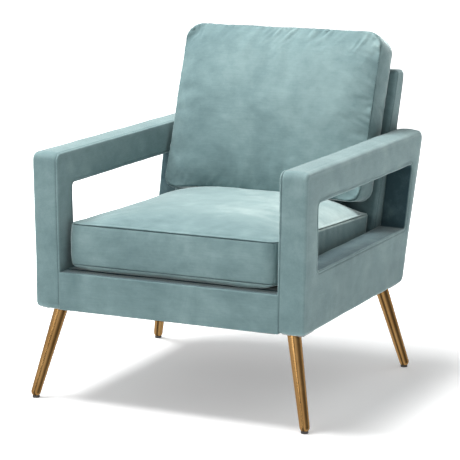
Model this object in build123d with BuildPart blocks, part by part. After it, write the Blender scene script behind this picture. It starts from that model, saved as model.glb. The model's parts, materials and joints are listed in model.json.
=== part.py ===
"""Upholstered lounge armchair with open arms, two loose cushions and four splayed metal legs.

Millimetres, +Z up, the seat faces -Y. The origin is on the floor, under the middle of the chair.
Side outlines are drawn as (distance back from the arms' front face, height above the floor).
The arms and legs are drawn on the +X side, named right, and mirrored to the left.
"""
import os
from math import cos, radians, sin, tan

from build123d import *

os.makedirs("parts", exist_ok=True)

# ---------------------------------------------------------------- driving dimensions
FRONT = -399.1  # the arms' front face, back from the origin
REACH = 2000.0  # a length past every face, for cuts right across the chair

# arms
LEG_HEIGHT = 228.0  # floor to the underside of the body
ARM_HEIGHT = 382.0  # the body's underside to the arms' tops
ARM_LENGTH = 664.0  # along the underside
ARM_RAKE = 17.6  # degrees that the arms' rear edge leans back
ARM_THICK = 69.0
ARM_LEAN = 0.9  # degrees that the arms lean outwards
SEAT_HALF = 285.0  # middle of the chair to an arm's inner face, at the underside
ARM_CORNER = 16.0
ARM_EDGE = 8.0
FRONT_POST_FACE = 76.0  # depth of an arm in front of its window
LOWER_FACE = 142.0  # height of an arm under its window
TOP_FACE = 80.0  # height of an arm over its window
REAR_POST_FACE = 43.2  # depth of an arm behind its window, at the window's bottom
WINDOW_RAKE = 14.0
WINDOW_CORNER = 11.0

# upholstery layers
COVER = 1.5
SIDE_PAD = 11.0
FRONT_PAD = 15.0
TOP_PAD = 14.0
REAR_PAD = 8.0
LINING = 5.0  # wadding round the window
BOARD = 3.0

# timber
POST_REAR = 26.0
SILL = 34.0
BASE_RAIL = 60.0
SIDE_RAIL_THICK = 25.0
FRONT_RAIL_HEIGHT = 94.0  # of the covered rail, above the underside
FRONT_RAIL_THICK = 34.0
FRONT_LIP = 36.0  # how far back the front rail's upholstery turns over its top
REAR_RAIL_THICK = 32.0
BLOCK_LEG = 70.0  # short sides of a corner block
BLOCK_HEIGHT = 40.0

# back frame
BACK_HEIGHT = 533.0  # above the underside
BACK_SET = 6.0  # the back's rear face behind the arms' rear edge, at the underside
BACK_DEPTH = 75.0  # at the underside
BACK_FOOT_RISE = 97.0  # the front face stands upright up to this height above the underside
BACK_FRONT_RAKE = 19.8
BACK_TAPER = 4.8  # degrees by which the rear face is steeper
BACK_CORNER = 18.0
BACK_FRONT_PAD = 26.0
BACK_REAR_PAD = 8.0
BACK_TOP_PAD = 14.0
BACK_POST = 34.0
BACK_TOP_RAIL = 62.0
BACK_BOTTOM_RAIL = 60.0
WEBBING_WIDTH = 50.0
WEBBING_THICK = 2.0
WEBBING_COUNT = 5
WEBBING_MARGIN = 20.0  # clear of the foot of the sloping face, and of the top rail's middle

# deck and springs
SEAT_SLOPE = 2.8  # degrees that the deck falls to the rear
DECK_PROUD = 3.6  # the deck cover's plane above the covered rail, at the arms' front face
DECK_PAD = 12.0
SPRING_COUNT = 5
SPRING_SPACING = 100.0
SPRING_WIRE = 3.8
SPRING_LOOP = 52.0
SPRING_BENDS = 18
SPRING_BEND_SHARE = 0.46  # a bend's radius over the pitch of the bends
SPRING_GAP = 0.3
CLIP_LENGTH = 18.0
CLIP_WIDTH = 12.0
CLIP_THICK = 1.2
DUST_COVER = 1.0
DUST_COVER_MARGIN = 4.0

# legs
FRONT_LEG_HEAD = 50.0  # a front leg's axis at the underside, behind the arms' front face
REAR_LEG_HEAD = 48.0  # a rear leg's, in front of the arms' rear edge
LEG_SCREW_OFFSET = 4.5  # the legs' axes outside their plates' inner screws
LEG_SPREAD = 53.0  # how far a foot stands out to the side of the leg's head
FRONT_LEG_SPREAD = 50.0  # and forward
REAR_LEG_SPREAD = 61.0  # and back
LEG_HEAD_RADIUS = 16.8
LEG_FOOT_RADIUS = 12.2
LEG_WALL = 1.5
GLIDE_RADIUS = 9.0
GLIDE_BASE = 2.0
GLIDE_HEIGHT = 5.5
PLATE_THICK = 3.0
PLATE_LENGTH = 60.0
SCREW_RADIUS = 2.0
SCREW_LENGTH = 25.0
SCREW_HEAD_RADIUS = 4.0
SCREW_HEAD_HEIGHT = 2.5
SCREW_EDGE = 7.0  # a screw's axis from the timber's side
PLATE_EDGE_X = 12.0  # a screw's axis from the plate's sides
PLATE_EDGE_Y = 8.0  # and from its ends

# bolts that hold the arms to the seat frame
BOLT_RADIUS = 4.0
BOLT_HOLE_CLEARANCE = 0.2
BOLT_HEAD_RADIUS = 7.5
BOLT_HEAD_HEIGHT = 5.3
BOLT_END = 10.0  # timber left past a bolt's end
BOLT_RISE = 34.0  # a bolt's axis above the underside
BOLT_INSET = 100.0  # a bolt's axis from the seat frame's corner

# loose cushions
CUSHION_CLEARANCE = 0.4  # a cushion from what it rests on
SEAT_SIDE_GAP = 3.0
SEAT_REAR_GAP = 4.0
SEAT_CUSHION_FRONT = 13.0
SEAT_BOXING = 120.0
SEAT_CROWN = 38.0
SEAT_CORNER = 20.0
CUSHION_EDGE = 10.0
BACK_SIDE_GAP = 7.0
BACK_CUSHION_GAP = 13.0  # over the seat cushion's rear edge
BACK_CUSHION_REAR = 430.0  # height of its rear face, along the rake
BACK_CUSHION_FRONT = 395.0  # and of its front face
BACK_CUSHION_DROP = 12.0  # how far its lower front edge hangs below the rear one, along the rake
BACK_CUSHION_DEPTH = 88.0
BACK_CROWN = 41.0
BACK_TOP_CROWN = 36.0
BACK_CUSHION_CORNER = 18.0

# zips
ZIP_MARGIN = 68.0  # a zip's end from the cushion's side
TAPE_WIDTH = 24.0
TAPE_THICK = 1.0
COIL_WIDTH = 4.0
COIL_HEIGHT = 1.8
ZIP_GAP = 0.3
SLIDER_LENGTH = 11.0
SLIDER_WIDTH = 8.0
SLIDER_HEIGHT = 3.4
PULL_LENGTH = 22.0
PULL_WIDTH = 6.0
PULL_THICK = 1.0

# ---------------------------------------------------------------- derived places
SIDE = Plane(origin=(0, FRONT, 0), x_dir=(0, 1, 0), z_dir=(1, 0, 0))

# heights
BASE = LEG_HEIGHT
ARM_TOP = BASE + ARM_HEIGHT
WINDOW_BOTTOM = BASE + LOWER_FACE
WINDOW_TOP = ARM_TOP - TOP_FACE
FRONT_RAIL_TOP = BASE + FRONT_RAIL_HEIGHT
DECK_FRONT_HEIGHT = FRONT_RAIL_TOP + DECK_PROUD
BACK_TOP = BASE + BACK_HEIGHT
BACK_FOOT_HEIGHT = BASE + BACK_FOOT_RISE

# an arm's faces to its timber
PAD_INSET = COVER + SIDE_PAD
BOARD_INSET = PAD_INSET - BOARD
CORE_FRONT = COVER + FRONT_PAD
CORE_REAR = COVER + REAR_PAD
CORE_TOP = ARM_TOP - COVER - TOP_PAD
CORE_BOTTOM = BASE + COVER
WINDOW_FRONT = FRONT_POST_FACE
WINDOW_INSET = COVER + LINING
SILL_TOP = WINDOW_BOTTOM - WINDOW_INSET
POST_BACK = WINDOW_FRONT - WINDOW_INSET
RAIL_BOTTOM = WINDOW_TOP + WINDOW_INSET
POST_INSET = CORE_REAR + POST_REAR

# the back and the seat frame, back from the arms' front face
BACK_REAR = ARM_LENGTH + BACK_SET
BACK_FOOT = BACK_REAR - BACK_DEPTH
BACK_REAR_RAKE = BACK_FRONT_RAKE - BACK_TAPER
FRONT_RAIL_BACK = CORE_FRONT + FRONT_RAIL_THICK
REAR_RAIL_FRONT = BACK_FOOT - REAR_RAIL_THICK
SIDE_RAIL_INNER = SEAT_HALF - SIDE_RAIL_THICK

# layers square below the deck cover's top
PAD_DROP = COVER + DECK_PAD
WIRE_DROP = PAD_DROP + SPRING_GAP + CLIP_THICK + SPRING_WIRE / 2
RAIL_DROP = WIRE_DROP + SPRING_WIRE / 2 + CLIP_THICK
CLIP_PLACES = (FRONT_RAIL_BACK - CLIP_WIDTH / 2, REAR_RAIL_FRONT + CLIP_WIDTH / 2)

# fasteners
TIMBER_THICK = ARM_THICK - 2 * PAD_INSET
TIMBER_X = SEAT_HALF + ARM_THICK / 2
SCREW_SPREAD_X = TIMBER_THICK - 2 * SCREW_EDGE
SCREW_SPREAD_Y = PLATE_LENGTH - 2 * PLATE_EDGE_Y
PLATE_WIDTH = SCREW_SPREAD_X + 2 * PLATE_EDGE_X
LEG_HEAD_X = TIMBER_X - SCREW_SPREAD_X / 2 + LEG_SCREW_OFFSET
LEG_HEADS = (FRONT_LEG_HEAD, ARM_LENGTH - REAR_LEG_HEAD)
BOLT_LENGTH = SIDE_RAIL_THICK + PAD_INSET + TIMBER_THICK - BOLT_END
BOLT_PLACES = (FRONT_RAIL_BACK + BOLT_INSET, REAR_RAIL_FRONT - BOLT_INSET)
BOLT_HEIGHT = BASE + BOLT_RISE


def lean(height):
    """How far the arms' faces stand out at this height, from where they are at the underside."""
    return (height - BASE) * tan(radians(ARM_LEAN))


def arm_rear(height, inset=0.0):
    """Rear edge of an arm at this height."""
    return ARM_LENGTH + (height - BASE) * tan(radians(ARM_RAKE)) - inset


def window_rear(height, inset=0.0):
    """Rear edge of an arm's window at this height."""
    foot = arm_rear(WINDOW_BOTTOM, REAR_POST_FACE)
    return foot + (height - WINDOW_BOTTOM) * tan(radians(WINDOW_RAKE)) + inset


def back_front(height, inset=0.0):
    """Front face of the back at this height, above the deck."""
    return BACK_FOOT + (height - BACK_FOOT_HEIGHT) * tan(radians(BACK_FRONT_RAKE)) + inset


def back_rear(height, inset=0.0):
    """Rear face of the back at this height."""
    return BACK_REAR + (height - BASE) * tan(radians(BACK_REAR_RAKE)) - inset


def deck_height(distance, below=0.0):
    """Height of the deck cover's top at this distance back, or of a layer square below it."""
    fall = distance * tan(radians(SEAT_SLOPE))
    return DECK_FRONT_HEIGHT - fall - below / cos(radians(SEAT_SLOPE))


# ---------------------------------------------------------------- helpers
def save(name, piece):
    """Label one finished piece and write it."""
    piece.part.label = name
    export_step(piece.part, f"parts/{name}.step")


def save_pair(name, right):
    """Write a right-hand piece and its mirror image."""
    save("right_" + name, right)
    with BuildPart() as left:
        mirror(right.part, about=Plane.YZ)
    save("left_" + name, left)


def side_face(*outline):
    """Face with straight edges on the side plane."""
    with BuildSketch(SIDE) as face:
        with BuildLine():
            Polyline(*outline, close=True)
        make_face()
    return face.sketch


def arm_section(inner_inset, outer_inset):
    """Cross section between two faces that lean as the right arm does."""
    near = SEAT_HALF + inner_inset
    far = SEAT_HALF + ARM_THICK - outer_inset
    with BuildSketch(Plane.XZ) as section:
        with BuildLine():
            Polyline(
                (near + lean(0), 0),
                (far + lean(0), 0),
                (far + lean(REACH), REACH),
                (near + lean(REACH), REACH),
                close=True,
            )
        make_face()
    return section.sketch


def seat_section(inset):
    """Cross section of the space between the arms, drawn in at each side."""
    half = SEAT_HALF - inset
    with BuildSketch(Plane.XZ) as section:
        with BuildLine():
            Polyline(
                (-half - lean(0), 0),
                (half + lean(0), 0),
                (half + lean(REACH), REACH),
                (-half - lean(REACH), REACH),
                close=True,
            )
        make_face()
    return section.sketch


def arm_prism(outline, inner_inset, outer_inset):
    """Solid in the right arm with a side outline, between two leaning faces."""
    with BuildPart() as prism:
        extrude(outline, amount=REACH)
        extrude(arm_section(inner_inset, outer_inset), amount=REACH, both=True, mode=Mode.INTERSECT)
    return prism.part


def seat_prism(outline, inset):
    """Solid between the arms with a side outline, drawn in from them at each side."""
    with BuildPart() as prism:
        extrude(outline, amount=REACH, both=True)
        extrude(seat_section(inset), amount=REACH, both=True, mode=Mode.INTERSECT)
    return prism.part


# ---------------------------------------------------------------- fasteners and their holes
def plate_places(height):
    """Middles of the right-hand leg plates at this height."""
    return Locations(*[(TIMBER_X, FRONT + head, height) for head in LEG_HEADS])


def make_screw_shanks():
    """Shanks of the screws through all four leg plates."""
    with BuildPart() as shanks:
        with plate_places(BASE - PLATE_THICK):
            with GridLocations(SCREW_SPREAD_X, SCREW_SPREAD_Y, 2, 2):
                Cylinder(SCREW_RADIUS, SCREW_LENGTH, align=(Align.CENTER, Align.CENTER, Align.MIN))
        mirror(about=Plane.YZ)
    return shanks.part


def make_bolt_shanks(radius):
    """Shanks of the bolts that cross from the seat frame into the right arm."""
    with BuildPart() as shanks:
        for place in BOLT_PLACES:
            with BuildSketch(Plane.YZ.offset(SIDE_RAIL_INNER)):
                with Locations((FRONT + place, BOLT_HEIGHT)):
                    Circle(radius)
            extrude(amount=BOLT_LENGTH)
    return shanks.part


SCREW_SHANKS = make_screw_shanks()
BOLT_HOLES = make_bolt_shanks(BOLT_RADIUS + BOLT_HOLE_CLEARANCE)


def make_fasteners():
    """Leg plates, their screws, and the bolts through the arms."""
    with BuildPart() as plates:
        with plate_places(BASE):
            Box(PLATE_WIDTH, PLATE_LENGTH, PLATE_THICK, align=(Align.CENTER, Align.CENTER, Align.MAX))
        mirror(about=Plane.YZ)
        add(SCREW_SHANKS, mode=Mode.SUBTRACT)
    save("leg_plates", plates)

    with BuildPart() as screws:
        add(SCREW_SHANKS)
        with plate_places(BASE - PLATE_THICK):
            with GridLocations(SCREW_SPREAD_X, SCREW_SPREAD_Y, 2, 2):
                Cylinder(SCREW_HEAD_RADIUS, SCREW_HEAD_HEIGHT, align=(Align.CENTER, Align.CENTER, Align.MAX))
        mirror(about=Plane.YZ)
    save("plate_screws", screws)

    with BuildPart() as bolts:
        add(make_bolt_shanks(BOLT_RADIUS))
        for place in BOLT_PLACES:
            with BuildSketch(Plane.YZ.offset(SIDE_RAIL_INNER)):
                with Locations((FRONT + place, BOLT_HEIGHT)):
                    RegularPolygon(BOLT_HEAD_RADIUS, 6)
            extrude(amount=-BOLT_HEAD_HEIGHT)
        mirror(about=Plane.YZ)
    save("arm_bolts", bolts)


# ---------------------------------------------------------------- arms
def arm_block(inset):
    """The whole right arm with its window, drawn in from every face."""
    with BuildPart() as block:
        with BuildSketch(SIDE) as outline:
            with BuildLine():
                Polyline(
                    (0, BASE),
                    (ARM_LENGTH, BASE),
                    (arm_rear(ARM_TOP), ARM_TOP),
                    (0, ARM_TOP),
                    close=True,
                )
            make_face()
            fillet(outline.vertices(), ARM_CORNER)
            if inset:
                offset(amount=-inset, mode=Mode.REPLACE)
        extrude(amount=REACH)
        extrude(arm_section(inset, inset), amount=REACH, both=True, mode=Mode.INTERSECT)
        across = block.faces().sort_by(Axis.X)
        fillet(across[0].edges() + across[-1].edges(), ARM_EDGE - inset)
        with BuildSketch(SIDE) as window:
            with BuildLine():
                Polyline(
                    (WINDOW_FRONT, WINDOW_BOTTOM),
                    (window_rear(WINDOW_BOTTOM), WINDOW_BOTTOM),
                    (window_rear(WINDOW_TOP), WINDOW_TOP),
                    (WINDOW_FRONT, WINDOW_TOP),
                    close=True,
                )
            make_face()
            fillet(window.vertices(), WINDOW_CORNER)
            if inset:
                offset(amount=inset, mode=Mode.REPLACE)
        extrude(amount=REACH, mode=Mode.SUBTRACT)
    return block.part


def arm_core():
    """The space that the right arm's timber and boards fill, with the hollow between them."""
    with BuildPart() as core:
        add(
            arm_prism(
                side_face(
                    (CORE_FRONT, CORE_BOTTOM),
                    (arm_rear(CORE_BOTTOM, CORE_REAR), CORE_BOTTOM),
                    (arm_rear(CORE_TOP, CORE_REAR), CORE_TOP),
                    (CORE_FRONT, CORE_TOP),
                ),
                PAD_INSET,
                PAD_INSET,
            )
        )
        add(arm_prism(board_outline(), BOARD_INSET, BOARD_INSET))
    return core.part


def board_outline():
    """Outline of the boards that close the lower part of an arm."""
    return side_face(
        (CORE_FRONT, CORE_BOTTOM),
        (arm_rear(CORE_BOTTOM, CORE_REAR), CORE_BOTTOM),
        (arm_rear(SILL_TOP, CORE_REAR), SILL_TOP),
        (CORE_FRONT, SILL_TOP),
    )


def make_arm_timber():
    """Posts, rails and boards of both arms."""
    outlines = {
        "arm_front_post": (
            (CORE_FRONT, CORE_BOTTOM),
            (POST_BACK, CORE_BOTTOM),
            (POST_BACK, CORE_TOP),
            (CORE_FRONT, CORE_TOP),
        ),
        "arm_top_rail": (
            (POST_BACK, RAIL_BOTTOM),
            (arm_rear(RAIL_BOTTOM, CORE_REAR), RAIL_BOTTOM),
            (arm_rear(CORE_TOP, CORE_REAR), CORE_TOP),
            (POST_BACK, CORE_TOP),
        ),
        "arm_rear_post": (
            (arm_rear(CORE_BOTTOM, POST_INSET), CORE_BOTTOM),
            (arm_rear(CORE_BOTTOM, CORE_REAR), CORE_BOTTOM),
            (arm_rear(RAIL_BOTTOM, CORE_REAR), RAIL_BOTTOM),
            (arm_rear(RAIL_BOTTOM, POST_INSET), RAIL_BOTTOM),
        ),
        "arm_sill_rail": (
            (POST_BACK, SILL_TOP - SILL),
            (arm_rear(SILL_TOP - SILL, POST_INSET), SILL_TOP - SILL),
            (arm_rear(SILL_TOP, POST_INSET), SILL_TOP),
            (POST_BACK, SILL_TOP),
        ),
        "arm_base_rail": (
            (POST_BACK, CORE_BOTTOM),
            (arm_rear(CORE_BOTTOM, POST_INSET), CORE_BOTTOM),
            (arm_rear(CORE_BOTTOM + BASE_RAIL, POST_INSET), CORE_BOTTOM + BASE_RAIL),
            (POST_BACK, CORE_BOTTOM + BASE_RAIL),
        ),
    }
    padded = arm_block(COVER)
    for name, outline in outlines.items():
        with BuildPart() as member:
            add(arm_prism(side_face(*outline), PAD_INSET, PAD_INSET))
            add(padded, mode=Mode.INTERSECT)
            add(SCREW_SHANKS, mode=Mode.SUBTRACT)
            add(BOLT_HOLES, mode=Mode.SUBTRACT)
        save_pair(name, member)

    with BuildPart() as boards:
        add(arm_prism(board_outline(), BOARD_INSET, ARM_THICK - PAD_INSET))
        add(arm_prism(board_outline(), ARM_THICK - PAD_INSET, BOARD_INSET))
        add(padded, mode=Mode.INTERSECT)
        add(BOLT_HOLES, mode=Mode.SUBTRACT)
    save_pair("arm_boards", boards)


def make_arm_upholstery():
    """Foam round each member of the arms, and the covers over it."""
    padded = arm_block(COVER)
    core = arm_core()
    seam_front = WINDOW_FRONT - COVER
    seam_bottom = WINDOW_BOTTOM - COVER
    seam_top = WINDOW_TOP + COVER
    past = ARM_LENGTH + ARM_TOP
    regions = {
        "arm_front_foam": ((0, 0), (seam_front, 0), (seam_front, REACH), (0, REACH)),
        "arm_top_foam": (
            (seam_front, seam_top), (past, seam_top), (past, REACH), (seam_front, REACH),
        ),
        "arm_rear_foam": (
            (window_rear(seam_bottom, COVER), seam_bottom),
            (past, seam_bottom),
            (past, seam_top),
            (window_rear(seam_top, COVER), seam_top),
        ),
        "arm_lower_foam": (
            (seam_front, 0), (past, 0), (past, seam_bottom), (seam_front, seam_bottom),
        ),
    }
    for name, region in regions.items():
        with BuildPart() as foam:
            add(padded)
            extrude(side_face(*region), amount=REACH, mode=Mode.INTERSECT)
            add(core, mode=Mode.SUBTRACT)
            add(BOLT_HOLES, mode=Mode.SUBTRACT)
        save_pair(name, foam)

    with BuildPart() as cover:
        add(arm_block(0))
        add(padded, mode=Mode.SUBTRACT)
        add(SCREW_SHANKS, mode=Mode.SUBTRACT)
        add(BOLT_HOLES, mode=Mode.SUBTRACT)
    save_pair("arm_cover", cover)


# ---------------------------------------------------------------- seat frame
def make_seat_frame():
    """Rails and corner blocks between the arms."""
    front_outline = side_face(
        (CORE_FRONT, CORE_BOTTOM),
        (FRONT_RAIL_BACK, CORE_BOTTOM),
        (FRONT_RAIL_BACK, deck_height(FRONT_RAIL_BACK, RAIL_DROP)),
        (CORE_FRONT, deck_height(CORE_FRONT, RAIL_DROP)),
    )
    with BuildPart() as front_rail:
        add(seat_prism(front_outline, COVER))
    save("front_rail", front_rail)

    rear_outline = side_face(
        (REAR_RAIL_FRONT, BASE),
        (BACK_FOOT, BASE),
        (BACK_FOOT, deck_height(BACK_FOOT, RAIL_DROP)),
        (REAR_RAIL_FRONT, deck_height(REAR_RAIL_FRONT, RAIL_DROP)),
    )
    with BuildPart() as rear_rail:
        add(seat_prism(rear_outline, 0))
    save("rear_rail", rear_rail)

    with BuildPart() as side_rail:
        with BuildSketch(SIDE.offset(SIDE_RAIL_INNER)):
            with BuildLine():
                Polyline(
                    (FRONT_RAIL_BACK, BASE),
                    (REAR_RAIL_FRONT, BASE),
                    (REAR_RAIL_FRONT, deck_height(REAR_RAIL_FRONT, RAIL_DROP)),
                    (FRONT_RAIL_BACK, deck_height(FRONT_RAIL_BACK, RAIL_DROP)),
                    close=True,
                )
            make_face()
        extrude(amount=REACH)
        extrude(seat_section(0), amount=REACH, both=True, mode=Mode.INTERSECT)
        add(BOLT_HOLES, mode=Mode.SUBTRACT)
    save_pair("side_rail", side_rail)

    with BuildPart() as blocks:
        corners = ((FRONT_RAIL_BACK, BLOCK_LEG), (REAR_RAIL_FRONT, -BLOCK_LEG))
        for edge, leg in corners:
            with BuildSketch(Plane((0, FRONT, CORE_BOTTOM))):
                with BuildLine():
                    Polyline(
                        (SIDE_RAIL_INNER, edge),
                        (SIDE_RAIL_INNER - BLOCK_LEG, edge),
                        (SIDE_RAIL_INNER, edge + leg),
                        close=True,
                    )
                make_face()
            extrude(amount=BLOCK_HEIGHT)
        mirror(about=Plane.YZ)
    save("corner_blocks", blocks)


def make_front_upholstery():
    """Foam on the front rail's face and top, and the cover over it."""
    foam_top = FRONT_RAIL_TOP - COVER
    with BuildPart() as foam:
        outline = side_face(
            (COVER, CORE_BOTTOM),
            (CORE_FRONT, CORE_BOTTOM),
            (CORE_FRONT, deck_height(CORE_FRONT, RAIL_DROP)),
            (FRONT_LIP, deck_height(FRONT_LIP, RAIL_DROP)),
            (FRONT_LIP, foam_top),
            (COVER, foam_top),
        )
        add(seat_prism(outline, COVER))
    save("front_rail_foam", foam)

    with BuildPart() as cover:
        outline = side_face(
            (0, BASE),
            (FRONT_RAIL_BACK, BASE),
            (FRONT_RAIL_BACK, CORE_BOTTOM),
            (COVER, CORE_BOTTOM),
            (COVER, foam_top),
            (FRONT_LIP, foam_top),
            (FRONT_LIP, FRONT_RAIL_TOP),
            (0, FRONT_RAIL_TOP),
        )
        add(seat_prism(outline, 0))
    save("front_rail_cover", cover)


def make_springs():
    """Zigzag springs from the front rail to the rear rail, and the clips that hold their ends."""
    wire_plane = Plane(
        origin=(0, FRONT, deck_height(0, WIRE_DROP)),
        x_dir=(1, 0, 0),
        z_dir=(0, sin(radians(SEAT_SLOPE)), cos(radians(SEAT_SLOPE))),
    )
    starts = [place / cos(radians(SEAT_SLOPE)) for place in CLIP_PLACES]
    pitch = (starts[1] - starts[0]) / SPRING_BENDS
    half = SPRING_LOOP / 2
    points = []
    for row in range(SPRING_BENDS + 1):
        side = 1 if row % 2 else -1
        points.append((side * half, starts[0] + row * pitch))
        points.append((-side * half, starts[0] + row * pitch))
    with BuildPart() as spring:
        with BuildLine(wire_plane) as path:
            FilletPolyline(*points, radius=pitch * SPRING_BEND_SHARE)
        with BuildSketch(Plane(origin=path.line @ 0, z_dir=path.line % 0)):
            Circle(SPRING_WIRE / 2)
        sweep()

    middle = (SPRING_COUNT - 1) / 2
    places = [((number - middle) * SPRING_SPACING, 0, 0) for number in range(SPRING_COUNT)]
    with BuildPart() as springs:
        with Locations(*places):
            add(spring.part)
    save("seat_springs", springs)

    with BuildPart() as clips:
        with BuildSketch(wire_plane.offset(-SPRING_WIRE / 2 - CLIP_THICK)):
            with Locations(*[(x, start) for x, _, _ in places for start in starts]):
                Rectangle(CLIP_LENGTH, CLIP_WIDTH)
        extrude(amount=SPRING_WIRE + 2 * CLIP_THICK)
        add(springs.part, mode=Mode.SUBTRACT)
    save("spring_clips", clips)


def make_deck():
    """Pad over the springs, its cover, and the dust cover under the frame."""
    with BuildPart() as pad:
        outline = side_face(
            (FRONT_LIP, deck_height(FRONT_LIP, PAD_DROP)),
            (BACK_FOOT, deck_height(BACK_FOOT, PAD_DROP)),
            (BACK_FOOT, deck_height(BACK_FOOT, COVER)),
            (FRONT_LIP, deck_height(FRONT_LIP, COVER)),
        )
        add(seat_prism(outline, 0))
    save("deck_pad", pad)

    with BuildPart() as cover:
        outline = side_face(
            (FRONT_LIP, deck_height(FRONT_LIP, COVER)),
            (BACK_FOOT, deck_height(BACK_FOOT, COVER)),
            (BACK_FOOT, deck_height(BACK_FOOT)),
            (FRONT_LIP, deck_height(FRONT_LIP)),
        )
        add(seat_prism(outline, 0))
    save("deck_cover", cover)

    with BuildPart() as dust_cover:
        outline = side_face(
            (DUST_COVER_MARGIN, BASE - DUST_COVER),
            (BACK_REAR - DUST_COVER_MARGIN, BASE - DUST_COVER),
            (BACK_REAR - DUST_COVER_MARGIN, BASE),
            (DUST_COVER_MARGIN, BASE),
        )
        add(seat_prism(outline, DUST_COVER_MARGIN))
    save("dust_cover", dust_cover)


# ---------------------------------------------------------------- back frame
def back_block(inset):
    """The whole back between the arms, drawn in from every face."""
    with BuildPart() as block:
        with BuildSketch(SIDE) as outline:
            with BuildLine():
                Polyline(
                    (BACK_FOOT, BASE),
                    (BACK_REAR, BASE),
                    (back_rear(BACK_TOP), BACK_TOP),
                    (back_front(BACK_TOP), BACK_TOP),
                    (BACK_FOOT, BACK_FOOT_HEIGHT),
                    close=True,
                )
            make_face()
            fillet(outline.vertices().group_by(Axis.Y)[-1], BACK_CORNER)
            if inset:
                offset(amount=-inset, kind=Kind.INTERSECTION, mode=Mode.REPLACE)
        extrude(amount=REACH, both=True)
        extrude(seat_section(inset), amount=REACH, both=True, mode=Mode.INTERSECT)
    return block.part


def back_core_outline(webbing_room):
    """Outline of the back's timber frame, less room for the webbing on its front."""
    front = COVER + BACK_FRONT_PAD + webbing_room
    rear = COVER + BACK_REAR_PAD
    top = BACK_TOP - COVER - BACK_TOP_PAD
    return (
        (BACK_FOOT + front, CORE_BOTTOM),
        (back_rear(CORE_BOTTOM, rear), CORE_BOTTOM),
        (back_rear(top, rear), top),
        (back_front(top, front), top),
        (BACK_FOOT + front, BACK_FOOT_HEIGHT),
    )


def make_back():
    """Posts, rails, webbing, foam and cover of the back."""
    frame_outline = side_face(*back_core_outline(WEBBING_THICK))
    with BuildPart() as frame:
        add(seat_prism(frame_outline, COVER + BACK_REAR_PAD))
    opening = SEAT_HALF - COVER - BACK_REAR_PAD - BACK_POST

    with BuildPart() as post:
        add(frame.part)
        split(bisect_by=Plane.YZ.offset(opening), keep=Keep.TOP)
    save_pair("back_post", post)

    rail_bottom = BACK_TOP - COVER - BACK_TOP_PAD - BACK_TOP_RAIL
    with BuildPart() as top_rail:
        add(frame.part)
        with BuildSketch(Plane.XY.offset(rail_bottom)):
            Rectangle(2 * opening, REACH)
        extrude(amount=REACH, mode=Mode.INTERSECT)
    save("back_top_rail", top_rail)

    with BuildPart() as bottom_rail:
        add(frame.part)
        with BuildSketch(Plane.XY.offset(CORE_BOTTOM)):
            Rectangle(2 * opening, REACH)
        extrude(amount=BACK_BOTTOM_RAIL, mode=Mode.INTERSECT)
    save("back_bottom_rail", bottom_rail)

    front = COVER + BACK_FRONT_PAD
    strap_rise = WEBBING_WIDTH * cos(radians(BACK_FRONT_RAKE))
    lowest = BACK_FOOT_HEIGHT + WEBBING_MARGIN
    pitch = (BACK_TOP - BACK_TOP_RAIL - WEBBING_MARGIN - strap_rise - lowest) / (WEBBING_COUNT - 1)
    with BuildPart() as webbing:
        for strap in range(WEBBING_COUNT):
            low = lowest + strap * pitch
            high = low + strap_rise
            outline = side_face(
                (back_front(low, front), low),
                (back_front(low, front + WEBBING_THICK), low),
                (back_front(high, front + WEBBING_THICK), high),
                (back_front(high, front), high),
            )
            add(seat_prism(outline, COVER + BACK_REAR_PAD))
    save("back_webbing", webbing)

    padded = back_block(COVER)
    with BuildPart() as foam:
        add(padded)
        add(seat_prism(side_face(*back_core_outline(0)), COVER + BACK_REAR_PAD), mode=Mode.SUBTRACT)
    save("back_foam", foam)

    with BuildPart() as cover:
        add(back_block(0))
        add(padded, mode=Mode.SUBTRACT)
    save("back_cover", cover)


# ---------------------------------------------------------------- legs
def make_leg(end, head, backward):
    """One tapered tube leg and the glide under its foot, on the right."""
    foot_height = GLIDE_BASE + LEG_FOOT_RADIUS
    share = (BASE - foot_height) / BASE
    top = Vector(LEG_HEAD_X, FRONT + head, BASE)
    foot = Vector(
        LEG_HEAD_X + LEG_SPREAD * share,
        FRONT + head + backward * share,
        foot_height,
    )
    along = (top - foot).normalized()
    length = (top - foot).length
    sideways = along.cross(Vector(0, 0, 1))
    section = Plane(origin=foot, x_dir=sideways, z_dir=sideways.cross(along))
    overshoot = LEG_HEAD_RADIUS  # the tube runs past the underside before it is cut level
    slope = (LEG_HEAD_RADIUS - LEG_FOOT_RADIUS) / length
    far_radius = LEG_HEAD_RADIUS + slope * overshoot

    def tube(inset):
        """Turned solid of the leg, drawn in from its surface."""
        tip = LEG_FOOT_RADIUS - inset
        with BuildPart() as turned:
            with BuildSketch(section):
                with BuildLine():
                    outer = Polyline(
                        (tip, 0), (far_radius - inset, length + overshoot), (0, length + overshoot),
                        (0, -tip),
                    )
                    ThreePointArc(outer @ 1, (tip * sin(radians(45)), -tip * cos(radians(45))), outer @ 0)
                make_face()
            revolve(axis=Axis(foot, along))
        return turned.part

    with BuildPart() as leg:
        add(tube(0))
        add(tube(LEG_WALL), mode=Mode.SUBTRACT)
        split(bisect_by=Plane.XY.offset(BASE - PLATE_THICK), keep=Keep.BOTTOM)
    save_pair(end + "_leg", leg)

    with BuildPart() as glide:
        with Locations((foot.X, foot.Y, 0)):
            Cylinder(GLIDE_RADIUS, GLIDE_HEIGHT, align=(Align.CENTER, Align.CENTER, Align.MIN))
        add(tube(0), mode=Mode.SUBTRACT)
    return glide.part


def make_legs():
    """Four legs and their glides."""
    with BuildPart() as glides:
        add(make_leg("front", LEG_HEADS[0], -FRONT_LEG_SPREAD))
        add(make_leg("rear", LEG_HEADS[1], REAR_LEG_SPREAD))
        mirror(about=Plane.YZ)
    save("leg_glides", glides)


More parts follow.
